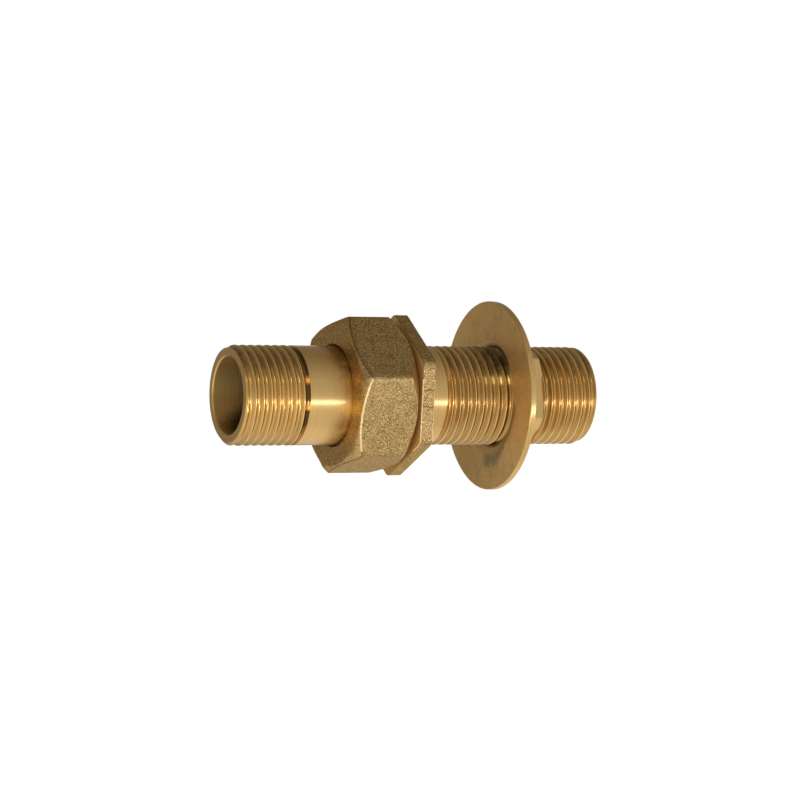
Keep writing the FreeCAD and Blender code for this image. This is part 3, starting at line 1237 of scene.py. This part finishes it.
@dataclass
class ConnectorBody:
    """Hexagon with the union spigot on one side and the neck and long thread on the other, bored through."""

    outline: Hexagon = Hexagon(14.9 * MM, 1.6 * MM, 36.0)
    hexagon_seat: float = 0.0
    hexagon_union_face: float = -3.0 * MM
    hexagon_hole: float = 9.4 * MM
    hexagon_edge: float = 0.2 * MM
    hexagon_steps: int = 120
    seat: float = UNION_SEAT
    union_crest: float = 13.15 * MM
    union_depth: float = 0.95 * MM
    union_chamfer: float = 0.8 * MM
    relief: float = 12.1 * MM
    relief_end: float = -4.2 * MM
    shoulder: float = -1.5 * MM
    neck: float = 10.45 * MM
    neck_start: float = -0.5 * MM
    neck_length: float = 5.0 * MM
    neck_step: float = 0.06 * MM
    crest: float = 10.4775 * MM
    thread_depth: float = 0.82 * MM
    crest_station: float = 11.96 * MM
    run_out_length: float = 1.3 * MM
    end: float = 41.1 * MM
    end_drop: float = 0.5775 * MM
    end_chamfer: float = 0.8 * MM
    bore: float = 7.9 * MM
    bore_chamfer: float = 0.3 * MM
    edge: float = 0.05 * MM
    steps: int = 144

    def build(self) -> Rings:
        """Model the spigot, neck and thread as one tube, and the hexagon round it.

        Returns:
            The two closed shells.
        """
        rings = Rings(self.steps)
        rings.thread(
            Thread(self.crest, self.thread_depth, self.neck_length, self.end, self.crest_station),
            lambda x: min(self.crest, self.crest - self.end_drop * (1 - (self.end - x) / self.end_chamfer)),
            self.run_out,
        )
        rings.thread(
            Thread(self.union_crest, self.union_depth, self.seat, self.relief_end, UNION_CREST_STATION),
            lambda x: min(self.union_crest, self.union_crest - self.union_chamfer + x - self.seat),
        )
        neck = rings.run(
            rings.rim(self.neck_length),
            (self.neck_length - self.neck_step, self.neck, Surface.TURNED),
            (self.neck_start, self.neck, Surface.TURNED),
        )
        shoulder = rings.run(
            rings.rim(self.relief_end),
            (self.relief_end, self.relief, Surface.TURNED),
            (self.shoulder, self.relief, Surface.TURNED),
            (self.shoulder, self.neck, Surface.TURNED),
        )
        rings.join(neck, shoulder, Surface.TURNED)
        inner = rings.mouth(rings.rim(self.seat), self.seat, self.bore, self.bore_chamfer)
        outer = rings.mouth(rings.rim(self.end), self.end, self.bore, -self.bore_chamfer)
        rings.join(inner, outer, Surface.BORED)
        rings.soften(self.edge)
        rings.take(self.hexagon().mesh)
        return rings

    def run_out(self, x: float) -> float:
        """Give the share of the depth that is cut where the thread runs out at the neck."""
        share = min(1.0, max(0.0, (x - self.neck_length) / self.run_out_length))
        return share * share * (3 - 2 * share)

    def hexagon(self) -> Rings:
        """Model the thin hexagon.

        Returns:
            The closed shell, its hole inside the tube's wall.
        """
        rings = Rings(self.hexagon_steps)
        union_face, seat = self.hexagon_union_face, self.hexagon_seat
        start = rings.ring(rings.at(union_face, self.hexagon_hole), self.outline.crowd)
        edges = rings.grow(start, self.outline.at(union_face), Surface.FACED)
        edges = rings.grow(edges, self.outline.at(seat), Surface.FORGED)
        rings.run(
            edges,
            (seat, self.hexagon_hole, Surface.FACED),
            (union_face, self.hexagon_hole, Surface.TURNED),
        )
        rings.soften(self.hexagon_edge, 3)
        return rings

    def dress(self, materials: Sequence[Material]) -> bpy.types.Object:
        """Make the piece and let it ride on the body.

        Args:
            materials: one material for each kind of surface.

        Returns:
            The piece.
        """
        piece = self.build().piece("threaded_body", materials)
        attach(piece, "connector_body")
        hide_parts("connector_body")
        return piece


@dataclass
class FlangeNut:
    """Round flange with a hexagon boss behind it, threaded and countersunk at both ends."""

    outline: Hexagon = Hexagon(11.25 * MM, 0.5 * MM, 22.5)
    face: float = 19.85 * MM
    back: float = 21.1 * MM
    rim: float = 20.1 * MM
    rim_edge: float = 0.12 * MM
    boss_face: float = 27.4 * MM
    boss_edge: float = 11.69 * MM
    boss_cone: float = 25.0
    minor: float = 10.5275 * MM
    thread_depth: float = 0.4 * MM
    crest_station: float = 24.0 * MM
    lip: float = 0.035 * MM
    countersink_width: float = 1.4725 * MM
    countersink_depth: float = 1.0 * MM
    boss_countersink: float = 0.6725 * MM
    edge: float = 0.07 * MM
    steps: int = 120

    def build(self) -> Rings:
        """Model the flange, its boss and the thread through both.

        Returns:
            The closed shell.
        """
        rings = Rings(self.steps)
        floor = self.face + self.countersink_depth
        rings.thread(
            Thread(self.minor, self.thread_depth, floor, self.boss_face, self.crest_station, inside=True),
            self.countersink,
        )
        mouth = rings.rim(self.boss_face)
        flange = rings.run(
            rings.rim(floor),
            (floor, self.minor - self.lip, Surface.FACED),
            (self.face, self.minor + self.countersink_width, Surface.TURNED),
            (self.face, self.rim - self.rim_edge, Surface.FACED),
            (self.face + self.rim_edge, self.rim, Surface.TURNED),
            (self.back - self.rim_edge, self.rim, Surface.TURNED),
            (self.back, self.rim - self.rim_edge, Surface.TURNED),
        )
        boss = rings.ring(self.outline.at(self.back), self.outline.crowd)
        crown = self.outline.crown(self.boss_face, self.boss_edge, -self.boss_cone)
        edges = rings.grow(boss, crown, Surface.TURNED)
        edges = rings.run(edges, (self.boss_face, self.boss_edge, Surface.TURNED))
        rings.join(edges, mouth, Surface.TURNED)
        rings.join(boss, flange, Surface.FACED)
        rings.soften(self.edge)
        return rings

    def countersink(self, x: float) -> float:
        """Give the least radius of the threaded hole at a station."""
        return self.minor + max(0.0, self.boss_countersink - (self.boss_face - x))

    def dress(self, materials: Sequence[Material]) -> bpy.types.Object:
        """Make the piece and let it ride on the flange nut.

        Args:
            materials: one material for each kind of surface.

        Returns:
            The piece.
        """
        piece = self.build().piece("flanged_back_nut", materials)
        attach(piece, "flange_nut")
        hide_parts("flange_nut")
        return piece


@dataclass
class Studio:
    """Pale floor, white surroundings, soft light and the camera."""

    azimuth: float = -26.0
    distance: float = 0.68
    focal_pixels: float = 3226.7
    picture: float = 800.0
    sensor: float = 36.0
    target: Vector = Vector((-0.0008, 0.0, -0.00097))
    floor_height: float = -0.095
    floor_half: float = 60.0
    floor_colour: Colour = (0.8, 0.79, 0.77)
    floor_glow: float = 0.8
    pool_far: Span = (-0.3, -0.02)
    pool_far_share: float = 0.6
    pool_near: Span = (0.0, 0.06)
    pool_near_share: float = 0.76
    pool_lean: Span = (0.3, -0.95)
    bright_side: Vector = Vector((0.15, -0.62, -0.77))
    room_lean: Span = (-0.8, 0.75)
    room_light: Span = (0.25, 0.75)
    tint_light: Span = (0.25, 0.7)
    dim_tint: Colour = (1.0, 0.9, 0.76)
    bright_tint: Colour = (1.0, 1.0, 0.98)
    card_outer: float = 20.0
    card_inner: float = 14.0

    def build(self) -> None:
        """Set the whole studio up."""
        bpy.context.scene.view_settings.view_transform = "Standard"
        self.camera()
        self.floor()
        self.world()
        self.lamp("key_strip", Vector((0.13, -0.262, -0.079)), (0.34, 0.013), 0.13, (0.97, 1.0, 1.1))
        self.lamp("side_glint", Vector((-0.364, -0.476, 0.36)), (0.08, 0.08), 0.3, (1.0, 0.85, 0.48))
        self.lamp("low_glint", Vector((-0.1, -0.124, -0.07)), (0.03, 0.03), 0.03, (1.0, 0.95, 0.8))

    def towards_camera(self) -> Vector:
        """Give the level direction from the part to the camera."""
        turn = math.radians(self.azimuth)
        return Vector((math.sin(turn), -math.cos(turn), 0.0))

    def camera(self) -> None:
        """Put the camera where the photograph was taken from."""
        data = bpy.data.cameras.new("view")
        data.sensor_fit = "HORIZONTAL"
        data.sensor_width = self.sensor
        data.lens = self.sensor * self.focal_pixels / self.picture
        data.clip_start = 0.01
        camera = bpy.data.objects.new("view", data)
        back = self.towards_camera()
        camera.location = self.target + self.distance * back
        camera.rotation_euler = back.to_track_quat("Z", "Y").to_euler()
        bpy.context.scene.collection.objects.link(camera)
        bpy.context.scene.camera = camera

    def floor(self) -> None:
        """Lay the pale floor well below the part."""
        made = bmesh.new()
        bmesh.ops.create_grid(made, x_segments=4, y_segments=4, size=self.floor_half)
        bmesh.ops.translate(made, verts=made.verts, vec=(0, 0, self.floor_height))
        mesh = bpy.data.meshes.new("floor")
        made.to_mesh(mesh)
        made.free()
        mesh.materials.append(self.floor_material())
        floor = bpy.data.objects.new("floor", mesh)
        bpy.context.scene.collection.objects.link(floor)

    def floor_material(self) -> Material:
        """Build the floor's material, which is seen as a pale sheet and, in reflections, glows as a painted
        pool of light near the part.

        Returns:
            The material.
        """
        paint = Paint("pale_floor")
        rays = paint.add("ShaderNodeLightPath").outputs
        camera = rays["Is Camera Ray"]
        seen = paint.fold("MAXIMUM", rays["Is Glossy Ray"], rays["Is Transmission Ray"], camera)
        aside = paint.math("MULTIPLY", paint.x, self.pool_lean[0])
        ahead = paint.math("MULTIPLY_ADD", paint.y, self.pool_lean[1], aside)
        # Painted pool of light: the floor glows for mirrored rays, most near the part.
        pool = paint.math(
            "MULTIPLY",
            paint.between(ahead, self.pool_far, 0.0, self.pool_far_share),
            paint.between(ahead, self.pool_near, 1.0, self.pool_near_share),
        )
        mirrored = paint.math("MULTIPLY", paint.math("SUBTRACT", seen, camera), pool)
        glow = paint.add("ShaderNodeEmission")
        paint.feed(glow.inputs["Strength"], paint.math("MULTIPLY_ADD", camera, self.floor_glow, mirrored))
        both = paint.add("ShaderNodeAddShader")
        for socket, source in zip(both.inputs, (paint.shader, glow)):
            paint.feed(socket, source.outputs[0])
        out = next(node for node in paint.tree.nodes if node.type == "OUTPUT_MATERIAL")
        paint.feed(out.inputs["Surface"], both.outputs[0])
        return paint.shade({"Base Color": (*self.floor_colour, 1.0), "Roughness": 0.9})

    def world(self) -> None:
        """Fill the surroundings: white behind the part, softer and dimmer above it."""
        world = bpy.data.worlds.new("studio")
        bpy.context.scene.world = world
        world.use_nodes = True
        nodes = Nodes(world.node_tree)
        nodes.tree.nodes.clear()
        way = nodes.add("ShaderNodeTexCoord").outputs["Generated"]
        lean = nodes.facing(way, self.bright_side.normalized())
        soft = nodes.between(lean, self.room_lean, *self.room_light, even=True)
        lift = nodes.between(soft, self.tint_light, 0, 1, even=True)
        room = nodes.add("ShaderNodeBackground")
        nodes.feed(room.inputs["Color"], nodes.blend(lift, self.dim_tint, self.bright_tint))
        nodes.feed(room.inputs["Strength"], soft)
        white = nodes.add("ShaderNodeBackground")
        nodes.feed(white.inputs["Color"], (1.0, 1.0, 1.0, 1.0))
        rays = nodes.add("ShaderNodeLightPath").outputs
        behind = nodes.facing(way, -self.towards_camera())
        rim = tuple(math.cos(math.radians(angle)) for angle in (self.card_outer, self.card_inner))
        card = nodes.between(behind, rim, 0, 1)
        mirrored = nodes.math("MAXIMUM", rays["Is Glossy Ray"], rays["Is Transmission Ray"])
        share = nodes.math("MULTIPLY_ADD", mirrored, card, rays["Is Camera Ray"], clamp=True)
        choose = nodes.add("ShaderNodeMixShader")
        for socket, source in zip(choose.inputs, (share, room.outputs[0], white.outputs[0])):
            nodes.feed(socket, source)
        out = nodes.add("ShaderNodeOutputWorld")
        nodes.feed(out.inputs["Surface"], choose.outputs[0])

    def lamp(self, name: str, place: Vector, size: Span, power: float, colour: Colour) -> None:
        """Hang one soft lamp that looks at the part.

        Args:
            name: the lamp's name.
            place: its place.
            size: its width and height.
            power: its power in watts.
            colour: its light's colour.
        """
        data = bpy.data.lights.new(name, "AREA")
        data.shape = "RECTANGLE"
        data.size, data.size_y = size
        data.energy = power
        data.color = colour
        lamp = bpy.data.objects.new(name, data)
        lamp.location = place
        lamp.rotation_euler = place.to_track_quat("Z", "Y").to_euler()
        bpy.context.scene.collection.objects.link(lamp)


def main() -> None:
    """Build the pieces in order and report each."""
    logging.basicConfig(level=logging.INFO, format="%(message)s")
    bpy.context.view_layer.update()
    brass = [FINISHES[surface].material() for surface in Surface]
    pieces = [
        Tailpiece().dress(brass),
        UnionWasher().dress(Rubber("washer_rubber").material()),
        UnionNut().dress(brass),
        ConnectorBody().dress(brass),
        FlangeNut().dress(brass),
    ]
    for piece in pieces:
        LOG.info("%s: %d faces", piece.name, len(piece.data.polygons))
    Studio().build()


if __name__ == "__main__":
    main()
